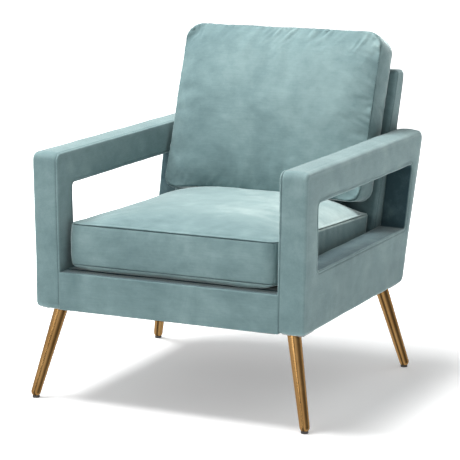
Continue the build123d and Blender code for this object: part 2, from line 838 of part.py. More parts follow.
# ---------------------------------------------------------------- loose cushions
SEAT_CUSHION_HALF = SEAT_HALF - SEAT_SIDE_GAP
SEAT_CUSHION_LENGTH = (BACK_FOOT - SEAT_REAR_GAP - SEAT_CUSHION_FRONT) / cos(radians(SEAT_SLOPE))
BACK_CUSHION_HALF = SEAT_HALF - BACK_SIDE_GAP
BACK_CUSHION_FOOT = deck_height(BACK_FOOT) + SEAT_BOXING + BACK_CUSHION_GAP
SEAT_SIDE = Plane(
    origin=(0, FRONT + SEAT_CUSHION_FRONT, deck_height(SEAT_CUSHION_FRONT, -CUSHION_CLEARANCE)),
    x_dir=(0, cos(radians(SEAT_SLOPE)), -sin(radians(SEAT_SLOPE))),
    z_dir=(1, 0, 0),
)
BACK_SIDE = Plane(
    origin=(
        0,
        FRONT + back_front(BACK_CUSHION_FOOT, -CUSHION_CLEARANCE / cos(radians(BACK_FRONT_RAKE))),
        BACK_CUSHION_FOOT,
    ),
    x_dir=(0, sin(radians(BACK_FRONT_RAKE)), cos(radians(BACK_FRONT_RAKE))),
    z_dir=(1, 0, 0),
)


def seat_cushion_block(inset):
    """The seat cushion, crowned on top, drawn in from every face."""
    with BuildPart() as block:
        with BuildSketch(SEAT_SIDE) as outline:
            with BuildLine():
                box = Polyline(
                    (0, SEAT_BOXING), (0, 0), (SEAT_CUSHION_LENGTH, 0), (SEAT_CUSHION_LENGTH, SEAT_BOXING)
                )
                ThreePointArc(box @ 1, (SEAT_CUSHION_LENGTH / 2, SEAT_BOXING + SEAT_CROWN), box @ 0)
            make_face()
            fillet(outline.vertices(), SEAT_CORNER)
            if inset:
                offset(amount=-inset, mode=Mode.REPLACE)
        extrude(amount=SEAT_CUSHION_HALF - inset, both=True)
        across = block.faces().sort_by(Axis.X)
        fillet(across[0].edges() + across[-1].edges(), CUSHION_EDGE - inset)
    return block.part


def back_cushion_block(inset):
    """The back cushion, crowned in front and on top, drawn in from every face."""
    rear_top = (BACK_CUSHION_REAR, 0)
    front_top = (BACK_CUSHION_FRONT, BACK_CUSHION_DEPTH)
    front_bottom = (-BACK_CUSHION_DROP, BACK_CUSHION_DEPTH)
    with BuildPart() as block:
        with BuildSketch(BACK_SIDE) as outline:
            with BuildLine():
                Polyline(front_bottom, (0, 0), rear_top)
                SagittaArc(rear_top, front_top, -BACK_TOP_CROWN)
                SagittaArc(front_top, front_bottom, -BACK_CROWN)
            make_face()
            fillet(outline.vertices(), BACK_CUSHION_CORNER)
            if inset:
                offset(amount=-inset, mode=Mode.REPLACE)
        extrude(amount=BACK_CUSHION_HALF - inset, both=True)
        across = block.faces().sort_by(Axis.X)
        fillet(across[0].edges() + across[-1].edges(), CUSHION_EDGE - inset)
    return block.part


def make_zip(cushion, face, half):
    """Zip on a cushion's boxing; the face's X runs along it and its Z points out of the cushion."""
    length = 2 * (half - ZIP_MARGIN)
    with BuildPart() as tape:
        with BuildSketch(face):
            Rectangle(length, TAPE_WIDTH)
        extrude(amount=TAPE_THICK)
        with BuildSketch(face.offset(TAPE_THICK)):
            Rectangle(length, COIL_WIDTH)
        extrude(amount=COIL_HEIGHT)
    save(cushion + "_zip", tape)

    closed_end = SLIDER_LENGTH - length / 2
    seat = TAPE_THICK + ZIP_GAP
    with BuildPart() as slider:
        with BuildSketch(face.offset(seat)):
            with Locations((closed_end, 0)):
                Rectangle(SLIDER_LENGTH, SLIDER_WIDTH)
        extrude(amount=SLIDER_HEIGHT)
        with BuildSketch(face.offset(seat)):
            with Locations((closed_end, 0)):
                Rectangle(SLIDER_LENGTH, COIL_WIDTH + 2 * ZIP_GAP)
        extrude(amount=COIL_HEIGHT, mode=Mode.SUBTRACT)
        with BuildSketch(face.offset(seat + SLIDER_HEIGHT)):
            with Locations((closed_end + (PULL_LENGTH - PULL_WIDTH) / 2, 0)):
                SlotOverall(PULL_LENGTH, PULL_WIDTH)
        extrude(amount=PULL_THICK)
    save(cushion + "_zip_slider", slider)


def make_cushions():
    """Both loose cushions: covers, fillings and zips."""
    blocks = {
        "seat_cushion": (seat_cushion_block(0), seat_cushion_block(COVER)),
        "back_cushion": (back_cushion_block(0), back_cushion_block(COVER)),
    }
    for name, (outer, inner) in blocks.items():
        with BuildPart() as cover:
            add(outer)
            add(inner, mode=Mode.SUBTRACT)
        save(name + "_cover", cover)
        with BuildPart() as filling:
            add(inner)
        save(name + "_filling", filling)

    seat_rear = Plane(
        origin=SEAT_SIDE.from_local_coords((SEAT_CUSHION_LENGTH, SEAT_BOXING / 2, 0)),
        x_dir=(1, 0, 0),
        z_dir=SEAT_SIDE.x_dir,
    )
    make_zip("seat_cushion", seat_rear, SEAT_CUSHION_HALF)

    rear_edge = BACK_SIDE.from_local_coords((0, 0, 0))
    front_edge = BACK_SIDE.from_local_coords((-BACK_CUSHION_DROP, BACK_CUSHION_DEPTH, 0))
    back_bottom = Plane(
        origin=(rear_edge + front_edge) / 2,
        x_dir=(1, 0, 0),
        z_dir=Vector(1, 0, 0).cross(front_edge - rear_edge),
    )
    make_zip("back_cushion", back_bottom, BACK_CUSHION_HALF)


make_fasteners()
make_arm_timber()
make_arm_upholstery()
make_seat_frame()
make_front_upholstery()
make_springs()
make_deck()
make_back()
make_legs()
make_cushions()
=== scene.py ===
import json
import math

import bmesh
import bpy
import numpy as np
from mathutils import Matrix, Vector, noise


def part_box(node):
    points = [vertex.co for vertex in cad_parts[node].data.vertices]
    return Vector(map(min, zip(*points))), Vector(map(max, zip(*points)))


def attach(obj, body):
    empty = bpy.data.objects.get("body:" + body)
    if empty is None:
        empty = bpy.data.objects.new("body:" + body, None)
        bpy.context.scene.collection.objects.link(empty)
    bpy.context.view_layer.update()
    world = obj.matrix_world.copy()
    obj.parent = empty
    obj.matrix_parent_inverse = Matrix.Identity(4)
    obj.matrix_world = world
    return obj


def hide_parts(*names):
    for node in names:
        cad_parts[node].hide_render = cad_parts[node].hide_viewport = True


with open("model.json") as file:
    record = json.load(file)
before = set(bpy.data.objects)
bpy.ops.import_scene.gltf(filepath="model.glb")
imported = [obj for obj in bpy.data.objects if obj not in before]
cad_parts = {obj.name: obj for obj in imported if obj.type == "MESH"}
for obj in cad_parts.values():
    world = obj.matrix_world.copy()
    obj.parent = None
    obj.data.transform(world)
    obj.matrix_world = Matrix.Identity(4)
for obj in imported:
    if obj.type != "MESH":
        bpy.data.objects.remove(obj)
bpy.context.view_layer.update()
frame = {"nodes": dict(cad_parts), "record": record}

SCENE = bpy.context.scene

# ---------------------------------------------------------------- sizes of the upholstery, in metres
ARM_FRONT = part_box("right_arm_cover")[0].y
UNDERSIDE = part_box("right_arm_cover")[0].z
ARM_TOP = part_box("right_arm_cover")[1].z
SEAT_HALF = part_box("right_arm_cover")[0].x
ARM_THICK = 0.069
ARM_LEAN = math.tan(math.radians(0.9))
ARM_RAKE = math.tan(math.radians(17.6))
WINDOW_RAKE = math.tan(math.radians(14.0))
COVER = 0.0015
WINDOW_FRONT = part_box("right_arm_front_foam")[1].y + COVER
WINDOW_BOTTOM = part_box("right_arm_lower_foam")[1].z + COVER
WINDOW_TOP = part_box("right_arm_top_foam")[0].z - COVER
ARM_LENGTH = 0.664
REAR_POST_FACE = 0.0432
RAIL_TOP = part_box("front_rail_cover")[1].z
BACK_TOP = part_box("back_cover")[1].z
BACK_DEPTH = 0.075
BACK_FOOT = ARM_FRONT + 0.595
BACK_FOOT_HEIGHT = UNDERSIDE + 0.097
BACK_REAR = ARM_FRONT + 0.670
BACK_FRONT_RAKE = math.radians(19.8)
BACK_REAR_RAKE = math.radians(15.0)
SEAT_SLOPE = math.radians(2.8)


def lean(height):
    """How far the arms stand out at this height, from where they are at the underside."""
    return (height - UNDERSIDE) * ARM_LEAN


def arm_rear(height):
    """The arms' rear edge at this height."""
    return ARM_FRONT + ARM_LENGTH + (height - UNDERSIDE) * ARM_RAKE


def window_rear(height):
    """Rear edge of an arm's window at this height."""
    return arm_rear(WINDOW_BOTTOM) - REAR_POST_FACE + (height - WINDOW_BOTTOM) * WINDOW_RAKE


def back_front(height):
    """Front face of the back at this height."""
    return BACK_FOOT + max(0.0, height - BACK_FOOT_HEIGHT) * math.tan(BACK_FRONT_RAKE)


def back_rear(height):
    """Rear face of the back at this height."""
    return BACK_REAR + (height - UNDERSIDE) * math.tan(BACK_REAR_RAKE)


# ---------------------------------------------------------------- shader building
class Wire:
    """The output of a shader node, with maths written as Python."""

    def __init__(self, finish, socket):
        self.finish = finish
        self.socket = socket

    def maths(self, operation, first, second):
        return self.finish.node("ShaderNodeMath", {"operation": operation}, {0: first, 1: second})

    def __add__(self, other):
        return self.maths("ADD", self, other)

    def __radd__(self, other):
        return self.maths("ADD", other, self)

    def __sub__(self, other):
        return self.maths("SUBTRACT", self, other)

    def __rsub__(self, other):
        return self.maths("SUBTRACT", other, self)

    def __mul__(self, other):
        return self.maths("MULTIPLY", self, other)

    def __rmul__(self, other):
        return self.maths("MULTIPLY", other, self)


class Finish:
    """A material built around one Principled shader, whose fixed values are set on its own sockets."""

    def __init__(self, name, **fixed):
        self.material = bpy.data.materials.new(name)
        self.material.use_nodes = True
        self.nodes = self.material.node_tree.nodes
        self.shader = self.nodes["Principled BSDF"]
        for socket, value in fixed.items():
            self.shader.inputs[socket.replace("_", " ")].default_value = value

    def node(self, kind, settings=None, sockets=None, output=0):
        """A node of this type, with its settings, and values or wires on its sockets."""
        made = self.nodes.new(kind)
        for name, value in (settings or {}).items():
            if name == "stops":
                self.set_stops(made.color_ramp, value)
            else:
                setattr(made, name, value)
        for name, value in (sockets or {}).items():
            if isinstance(value, Wire):
                self.material.node_tree.links.new(value.socket, made.inputs[name])
            else:
                made.inputs[name].default_value = value
        return Wire(self, made.outputs[output])

    @staticmethod
    def set_stops(ramp, stops):
        while len(ramp.elements) < len(stops):
            ramp.elements.new(1.0)
        for element, (place, colour) in zip(ramp.elements, stops):
            element.position = place
            element.color = (*colour, 1.0) if len(colour) == 3 else colour

    def place(self, scale=(1.0, 1.0, 1.0), turn=(0.0, 0.0, 0.0)):
        """The object's own coordinates, stretched and turned."""
        coords = self.node("ShaderNodeTexCoord", output=3)
        return self.node("ShaderNodeMapping", {}, {"Vector": coords, "Scale": scale, "Rotation": turn})

    def cloud(self, scale, detail=2.0, rough=0.5, stretch=(1.0, 1.0, 1.0), warp=0.0):
        """Soft noise over the object's own coordinates, from 0 to 1."""
        return self.node(
            "ShaderNodeTexNoise",
            {},
            {
                "Vector": self.place(stretch),
                "Scale": scale,
                "Detail": detail,
                "Roughness": rough,
                "Distortion": warp,
            },
        )

    def ramp(self, wire, stops):
        return self.node("ShaderNodeValToRGB", {"stops": stops}, {0: wire})

    def blend(self, mask, first, second, mode="MIX"):
        """Mix of two colours by a mask."""
        made = self.nodes.new("ShaderNodeMix")
        made.data_type = "RGBA"
        made.blend_type = mode
        for index, value in ((0, mask), (6, first), (7, second)):
            if isinstance(value, Wire):
                self.material.node_tree.links.new(value.socket, made.inputs[index])
            else:
                made.inputs[index].default_value = value if index == 0 else (*value, 1.0)
        return Wire(self, made.outputs[2])

    def mark(self, name):
        """A number kept on the mesh's points, such as where its seams are."""
        return self.node("ShaderNodeAttribute", {"attribute_name": name}, output=2)

    def drive(self, **wires):
        """Join wires to the shader's varying sockets."""
        for socket, wire in wires.items():
            self.material.node_tree.links.new(wire.socket, self.shader.inputs[socket.replace("_", " ")])
        return self

    def relief(self, height, strength, distance):
        """Small relief of the surface from a height."""
        bump = self.node(
            "ShaderNodeBump", {}, {"Height": height, "Strength": strength, "Distance": distance}
        )
        return self.drive(Normal=bump)


# ---------------------------------------------------------------- finishes
# Velvet colours, darkest to palest. The first is painted shade, for the window linings and the cloth under
# the seat cushion. The middle three are the cloth's own cloudy tone. The last is a painted sheen or
# highlight, for points marked lighter.
VELVET_PAINTED_SHADE = (0.030, 0.062, 0.074)
VELVET_DEEP = (0.092, 0.150, 0.158)
VELVET_MID = (0.138, 0.212, 0.218)
VELVET_PALE = (0.198, 0.284, 0.286)
VELVET_PAINTED_SHEEN = (0.360, 0.450, 0.435)
SEAM_COLOUR = (0.016, 0.034, 0.040)


def velvet(name, stretch):
    """Short-pile velvet: cloudy nap, faint ribs along one direction, dark seams, a pale sheen, and painted
    light: a mark on each piece's points paints it lighter as a painted sheen or highlight, or darker as
    painted shade.
    """
    finish = Finish(
        name, Sheen_Weight=1.0, Sheen_Roughness=0.32, Sheen_Tint=(0.82, 0.95, 0.95, 1.0),
        Specular_IOR_Level=0.20,
    )
    broad = finish.cloud(6.5, 5.0, 0.60, warp=0.5)
    strokes = finish.cloud(34.0, 5.0, 0.66, [0.7 + 0.3 * part for part in stretch])
    ribs = finish.cloud(330.0, 2.0, 0.5, stretch)
    pile = finish.cloud(1100.0, 2.0, 0.6)
    # cloudy nap at random, plus each piece's mark of painted light: above 0 a painted sheen or highlight,
    # below 0 painted shade
    nap = broad * 0.60 + strokes * 0.30 + ribs * 0.10 + finish.mark("nap")
    cloth = finish.ramp(
        nap,
        (
            (0.10, VELVET_PAINTED_SHADE), (0.31, VELVET_DEEP), (0.50, VELVET_MID), (0.69, VELVET_PALE),
            (0.88, VELVET_PAINTED_SHEEN),
        ),
    )
    speck = finish.ramp(pile, ((0.2, (0.86, 0.86, 0.86)), (0.8, (1.10, 1.10, 1.10))))
    cloth = finish.blend(0.6, cloth, speck, "MULTIPLY")
    seam = finish.mark("seam")
    cloth = finish.blend(seam * seam * seam * 0.85, cloth, SEAM_COLOUR)
    finish.drive(Base_Color=cloth, Roughness=0.96 - nap * 0.22)
    return finish.relief(pile * 0.4 + ribs * 0.35 + strokes * 0.7, 0.30, 0.0012).material


def brass():
    """Satin gold-coloured plating, brushed along the leg."""
    finish = Finish("satin_brass", Metallic=1.0)
    brushing = finish.cloud(260.0, 3.0, 0.6, (1.0, 1.0, 0.06))
    clouds = finish.cloud(14.0, 3.0, 0.5)
    colour = finish.ramp(
        brushing * 0.5 + clouds * 0.5,
        ((0.3, (0.52, 0.28, 0.095)), (0.55, (0.64, 0.37, 0.14)), (0.8, (0.74, 0.46, 0.19))),
    )
    finish.drive(Base_Color=colour, Roughness=0.12 + brushing * 0.14 + clouds * 0.06)
    return finish.relief(brushing, 0.12, 0.0003).material


def plain(name, dark, pale, scale, stretch=(1.0, 1.0, 1.0), rough=0.8, depth=0.0004, **fixed):
    """A finish of two close colours in a noise pattern, with the same pattern as relief."""
    finish = Finish(name, **fixed)
    grain = finish.cloud(scale, 4.0, 0.6, stretch, 0.4)
    finish.drive(
        Base_Color=finish.ramp(grain, ((0.3, dark), (0.7, pale))),
        Roughness=(rough - 0.08) + grain * 0.16,
    )
    return finish.relief(grain, 0.3, depth).material


def woven(name, dark, pale, pitch):
    """A plain weave of crossing threads."""
    finish = Finish(name)
    bands = [
        finish.node(
            "ShaderNodeTexWave",
            {"wave_type": "BANDS", "bands_direction": way},
            {"Vector": finish.place(), "Scale": 0.314 / pitch, "Distortion": 0.6, "Detail": 1.0},
        )
        for way in ("X", "Y", "Z")
    ]
    threads = bands[0] * bands[1] + bands[2] * 0.4
    finish.drive(
        Base_Color=finish.ramp(threads, ((0.1, dark), (0.9, pale))), Roughness=0.95 - threads * 0.15
    )
    return finish.relief(threads, 0.4, 0.0004).material


VELVET_ACROSS = velvet("velvet_across", (0.07, 1.0, 1.0))
VELVET_ALONG = velvet("velvet_along", (1.0, 0.07, 1.0))
FINISHES = {
    "brass": brass(),
    "glide": plain("grey_rubber", (0.060, 0.056, 0.052), (0.10, 0.095, 0.09), 300.0, rough=0.6),
    "timber": plain(
        "beech", (0.40, 0.25, 0.13), (0.62, 0.44, 0.26), 60.0, (1.0, 0.08, 0.6), 0.7
    ),
    "board": plain("fibreboard", (0.20, 0.13, 0.08), (0.32, 0.22, 0.14), 420.0, rough=0.9),
    "foam": plain("foam", (0.62, 0.56, 0.38), (0.80, 0.75, 0.56), 700.0, rough=0.95, depth=0.0008),
    "steel": plain(
        "zinc_plate", (0.42, 0.42, 0.43), (0.60, 0.60, 0.60), 180.0, rough=0.42, Metallic=0.9
    ),
    "webbing": woven("webbing", (0.20, 0.15, 0.09), (0.46, 0.38, 0.26), 0.002),
    "dust_cloth": woven("dust_cloth", (0.006, 0.006, 0.007), (0.022, 0.022, 0.024), 0.0012),
    "zip_tape": woven("zip_tape", (0.07, 0.13, 0.15), (0.17, 0.27, 0.30), 0.0010),
    "velvet": VELVET_ACROSS,
}


# ---------------------------------------------------------------- mesh building
def new_piece(name, points, faces, material, marks=None):
    """A smooth-shaded piece from points and faces, turned outwards, with numbers kept on its points."""
    mesh = bpy.data.meshes.new(name)
    mesh.from_pydata([tuple(p) for p in points], [], faces)
    for mark, values in (marks or {}).items():
        mesh.attributes.new(mark, "FLOAT", "POINT").data.foreach_set("value", np.asarray(values, float))
    work = bmesh.new()
    work.from_mesh(mesh)
    bmesh.ops.recalc_face_normals(work, faces=work.faces)
    work.to_mesh(mesh)
    work.free()
    mesh.shade_smooth()
    mesh.materials.append(material)
    piece = bpy.data.objects.new(name, mesh)
    SCENE.collection.objects.link(piece)
    return piece


def read_points(mesh):
    """A mesh's points as an array."""
    flat = np.empty(len(mesh.vertices) * 3)
    mesh.vertices.foreach_get("co", flat)
    return flat.reshape(-1, 3)


def write_points(mesh, points):
    mesh.vertices.foreach_set("co", np.asarray(points, float).ravel())
    mesh.update()


def read_normals(mesh):
    """The outward normals at a mesh's points."""
    flat = np.empty(len(mesh.vertices) * 3)
    mesh.vertices.foreach_get("normal", flat)
    return flat.reshape(-1, 3)


def read_mark(mesh, mark):
    values = np.empty(len(mesh.vertices))
    mesh.attributes[mark].data.foreach_get("value", values)
    return values


def waves(points, length, seed, stretch=(1.0, 1.0, 1.0)):
    """Smooth noise from -1 to 1 at each point, with lumps about this long."""
    scaled = np.asarray(points) * np.asarray(stretch) / length + seed * 7.31
    return np.array([noise.noise(Vector(p)) for p in scaled])


def lay_nap_and_painted_light(mesh, amounts):
    """How much lighter or darker the velvet is painted at each point: mostly painted light and shade."""
    mesh.attributes.new("nap", "FLOAT", "POINT").data.foreach_set("value", np.asarray(amounts, float))


def push_out(mesh, amounts):
    """Move each point along its normal."""
    write_points(mesh, read_points(mesh) + read_normals(mesh) * np.asarray(amounts)[:, None])


def applied(piece):
    """Make what a piece's modifiers give its own mesh."""
    graph = bpy.context.evaluated_depsgraph_get()
    mesh = bpy.data.meshes.new_from_object(piece.evaluated_get(graph), depsgraph=graph)
    piece.modifiers.clear()
    piece.data = mesh


def refined(piece):
    """Subdivide a piece once, and keep the result."""
    modifier = piece.modifiers.new("finer", "SUBSURF")
    modifier.levels = modifier.render_levels = 1
    applied(piece)


def stations(start, end, radius, step, seams=()):
    """Grid lines from start to end: close together in the rounded ends and beside each seam."""
    round_steps = [radius * math.tan(math.radians(a)) for a in (0, 12, 24, 35, 45)]
    lines = {start + radius - r for r in round_steps} | {end - radius + r for r in round_steps}
    inner = end - start - 2 * radius
    count = max(2, round(inner / step))
    lines |= {start + radius + inner * k / count for k in range(1, count)}
    for seam in seams:
        lines = {line for line in lines if abs(line - seam) > 0.0045}
        lines |= {seam + shift for shift in (-0.004, -0.0015, 0.0, 0.0015, 0.004)}
    return sorted(lines)


def box_skin(xs, ys, zs):
    """Points and outward quads over a box, from the grid lines along each axis."""
    ids = {}
    points = []

    def corner(i, j, k):
        if (i, j, k) not in ids:
            ids[i, j, k] = len(points)
            points.append((xs[i], ys[j], zs[k]))
        return ids[i, j, k]

    last = (len(xs) - 1, len(ys) - 1, len(zs) - 1)
    faces = []
    for axis in range(3):
        first, second = [a for a in range(3) if a != axis]
        for end in (0, last[axis]):
            for i in range(last[first]):
                for j in range(last[second]):
                    quad = []
                    for di, dj in ((0, 0), (1, 0), (1, 1), (0, 1)):
                        place = [0, 0, 0]
                        place[axis], place[first], place[second] = end, i + di, j + dj
                        quad.append(corner(*place))
                    outward = (end > 0) == (axis != 1)
                    faces.append(quad if outward else quad[::-1])
    return np.array(points), faces


def rounded(points, low, high, radius):
    """Round a box's edges."""
    inner = np.clip(points, np.asarray(low) + radius, np.asarray(high) - radius)
    away = points - inner
    length = np.linalg.norm(away, axis=1, keepdims=True)
    return inner + away / np.maximum(length, 1e-9) * radius


# ---------------------------------------------------------------- arms
# a seam's section: how far to its side, and the share of its depth there
GROOVE = ((-0.0022, 0.0), (-0.0010, 0.45), (0.0, 1.0), (0.0010, 0.45), (0.0022, 0.0))
SEAM_DEPTH = 0.0020
STITCH_DEPTH = 0.0010
INNER_ROUND = 0.003  # the arms' edges beside the seat, which have a seam
OUTER_ROUND = 0.008  # their outer edges, which have none
WINDOW_ROUND = 0.0035
WINDOW_CORNERS = (0.011, 0.011, 0.011, 0.011)
EDGE_CORNERS = (0.016, 0.024, 0.020, 0.018)
RING_STEPS = (96, 44, 104, 52)  # points along the bottom, rear, top and front of an arm
STITCH_INSET = 0.0068
BAND_CROWN = 0.0012
TOP_CROWN = 0.0028


def outline(corners, radii, steps, arc_steps=7):
    """Points and outward normals round a polygon with rounded corners, anticlockwise."""
    points = []
    normals = []
    count = len(corners)
    arcs = []
    for index, corner in enumerate(corners):
        corner = np.array(corner)
        arriving = corner - corners[index - 1]
        leaving = np.array(corners[(index + 1) % count]) - corner
        arriving = arriving / np.linalg.norm(arriving)
        leaving = leaving / np.linalg.norm(leaving)
        start = math.atan2(-arriving[0], arriving[1])
        turn = math.acos(float(np.clip(arriving @ leaving, -1, 1)))
        setback = radii[index] * math.tan(turn / 2)
        centre = corner - arriving * setback - np.array((arriving[1], -arriving[0])) * radii[index]
        angles = [start + turn * k / arc_steps for k in range(arc_steps + 1)]
        arcs.append([(centre, radii[index], angle) for angle in angles])
    for index, arc in enumerate(arcs):
        for centre, radius, angle in arc:
            normal = np.array((math.cos(angle), math.sin(angle)))
            points.append(centre + radius * normal)
            normals.append(normal)
        centre, radius, angle = arcs[(index + 1) % count][0]
        normal = np.array((math.cos(angle), math.sin(angle)))
        first = points[-1]
        final = centre + radius * normal
        for k in range(1, steps[index]):
            points.append(first + (final - first) * k / steps[index])
            normals.append(normal)
    return np.array(points), np.array(normals)


def arm_section(edge_round, seam):
    """Half of an arm's cross section, from the middle of the window's lining to the middle of the
    outer band. Each station is the share of the way from window to edge, how far it stands in from
    each, its place across the arm, its seam and its nap mark, which paints shade in the window's
    lining, fading out round the window's rounded edge, and paints the rounded outer edge a little
    lighter, partly as rubbed pile and partly as a painted highlight."""
    half = ARM_THICK / 2
    # painted shade: the window's lining is painted dark (-0.38)
    made = [(0.0, 0.0, 0.0, -x, 0.0, -0.38) for x in np.linspace(0.0, half - WINDOW_ROUND, 6)]
    # painted shade, fading out round the window's rounded edge
    for angle in (22, 45, 68, 90):
        turn = math.radians(angle)
        inset = WINDOW_ROUND * (1 - math.cos(turn))
        across = WINDOW_ROUND * (1 - math.sin(turn)) - half
        made.append((0.0, inset, 0.0, across, 0.0, -0.18 + angle / 500))
    for shift, deep in GROOVE:
        made.append((0.0, STITCH_INSET + shift, 0.0, STITCH_DEPTH * deep - half, deep * 0.75, 0.0))
    inset = STITCH_INSET + 0.0035
    for share in np.linspace(0.0, 1.0, 13):
        fullness = 0.0010 * math.sin(math.pi * share) ** 0.6
        made.append((share, inset, edge_round + 0.003, -half - fullness, 0.0, 0.0))
    # a little lighter on the rounded outer edge (0.04): partly rubbed pile, partly painted highlight
    for angle in (0, 18, 36, 54, 72):
        turn = math.radians(angle)
        inset = edge_round * (1 - math.sin(turn))
        made.append((1.0, 0.0, inset, edge_round * (1 - math.cos(turn)) - half, 0.0, 0.04))
    place = half - edge_round - 0.0024
    for shift, deep in GROOVE:
        made.append((1.0, 0.0, SEAM_DEPTH * deep * seam, shift - place, deep * seam, 0.0))
    for x in np.linspace(place - 0.005, 0.0, 6):
        crown = BAND_CROWN * math.sin(math.pi / 2 * (1 - x / place))
        made.append((1.0, 0.0, -crown, -x, 0.0, 0.0))
    return made


def window_corners():
    """An arm's window, as (back, up) corners."""
    return (
        (WINDOW_FRONT, WINDOW_BOTTOM),
        (window_rear(WINDOW_BOTTOM), WINDOW_BOTTOM),
        (window_rear(WINDOW_TOP), WINDOW_TOP),
        (WINDOW_FRONT, WINDOW_TOP),
    )


def ring_faces(count, around):
    """Quads between closed rings of points, with the last ring joined to the first."""
    faces = []
    for i in range(count):
        for j in range(around):
            a = i * around + j
            b = i * around + (j + 1) % around
            c = (i + 1) % count * around + (j + 1) % around
            d = (i + 1) % count * around + j
            faces.append((a, b, c, d))
    return faces


def make_arm(side):
    """One arm's padding and cover: a rounded frame round its window."""
    edge = (
        (ARM_FRONT, UNDERSIDE),
        (arm_rear(UNDERSIDE), UNDERSIDE),
        (arm_rear(ARM_TOP), ARM_TOP),
        (ARM_FRONT, ARM_TOP),
    )
    outer, outer_normal = outline(edge, EDGE_CORNERS, RING_STEPS)
    inner, inner_normal = outline(window_corners(), WINDOW_CORNERS, RING_STEPS)
    inside = arm_section(INNER_ROUND, 1.0)
    outside = [(a, w, e, -x, s, n) for a, w, e, x, s, n in arm_section(OUTER_ROUND, 0.0)]
    section = inside + outside[-2:0:-1]
    points = []
    seams = []
    naps_and_painted_light = []
    for share, from_window, from_edge, across, seam, nap in section:
        near = inner + inner_normal * from_window
        far = outer - outer_normal * from_edge
        ring = near * (1 - share) + far * share
        x = SEAT_HALF + lean(ring[:, 1]) + ARM_THICK / 2 + across
        crown = TOP_CROWN * (1 - (2 * across / ARM_THICK) ** 2) * (share == 1.0)
        height = ring[:, 1] + crown * np.clip(outer_normal[:, 1], 0, 1) ** 2
        points.append(np.stack((side * x, ring[:, 0], height), axis=1))
        seams.append(np.full(len(ring), seam))
        # painted light: the arm's top faces are painted a little lighter than its sides
        naps_and_painted_light.append(nap + 0.06 * (share == 1.0) * np.clip(outer_normal[:, 1], 0, 1))
    points = np.concatenate(points)
    seams = np.concatenate(seams)
    faces = ring_faces(len(section), len(outer))
    name = "right" if side > 0 else "left"
    marks = {"seam": seams, "nap": np.concatenate(naps_and_painted_light)}
    piece = new_piece(name + "_arm_upholstery", points, faces, VELVET_ALONG, marks)
    calm = 1.0 - 0.8 * seams
    seed = 3 if side > 0 else 11
    soft = waves(points, 0.11, seed) * 0.0011 + waves(points, 0.035, seed + 1) * 0.0004
    push_out(piece.data, soft * calm)
    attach(piece, "chair")
    nodes = ["arm_cover", "arm_front_foam", "arm_top_foam", "arm_rear_foam", "arm_lower_foam"]
    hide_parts(*[name + "_" + node for node in nodes])


# ---------------------------------------------------------------- front rail, back and deck
RAIL_DEPTH = 0.050
RAIL_OVER_ARM = 0.006  # the rail's cover runs this far over the arms' rounded edges
RAIL_ROUND = 0.0042


def flatten_under(mesh):
    """Pull an underside flat against the frame, so that the dust cover lies over it."""
    points = read_points(mesh)
    points[:, 2] = np.maximum(points[:, 2], UNDERSIDE)
    write_points(mesh, points)


def make_front_rail():
    """The padded rail under the seat cushion, flush with the arms."""
    half = SEAT_HALF + RAIL_OVER_ARM
    low = np.array((-half, ARM_FRONT, UNDERSIDE))
    high = np.array((half, ARM_FRONT + RAIL_DEPTH, RAIL_TOP))
    grid = [stations(low[a], high[a], RAIL_ROUND, 0.008) for a in range(3)]
    points, faces = box_skin(*grid)
    points = rounded(points, low, high, RAIL_ROUND)
    share = np.clip(points[:, 0] / half, -1, 1)
    rise = (points[:, 2] - UNDERSIDE) / (RAIL_TOP - UNDERSIDE)
    front = points[:, 1] < ARM_FRONT + RAIL_DEPTH / 2
    bulge = 0.0016 * np.sqrt(np.clip(1 - share**8, 0, 1)) * np.sin(np.pi * rise.clip(0, 1))
    points[:, 1] -= front * bulge
    piece = new_piece("front_rail_upholstery", points, faces, VELVET_ACROSS)
    # painted shade: the rail's top strip behind its front edge, under the seat cushion, is painted dark, and
    # the whole rail a little darker
    lay_nap_and_painted_light(piece.data, -0.45 * (points[:, 1] > ARM_FRONT + 0.004) * (rise > 0.95) - 0.03)
    push_out(piece.data, waves(points, 0.09, 21) * 0.0009 + waves(points, 0.03, 22) * 0.0003)
    flatten_under(piece.data)
    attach(piece, "chair")
    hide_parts("front_rail_cover", "front_rail_foam")


BACK_ROUND = 0.018  # its top rear edge
BACK_EDGE = 0.009  # its other edges


def round_top(places, depth, height):
    """Round the back's top rear edge, on its (depth, height) section."""
    inner = np.minimum(places, np.array((depth, height)) - BACK_ROUND)
    away = places - inner
    longest = away.max(axis=1, keepdims=True)
    length = np.maximum(np.linalg.norm(away, axis=1, keepdims=True), 1e-9)
    return inner + away * longest / length


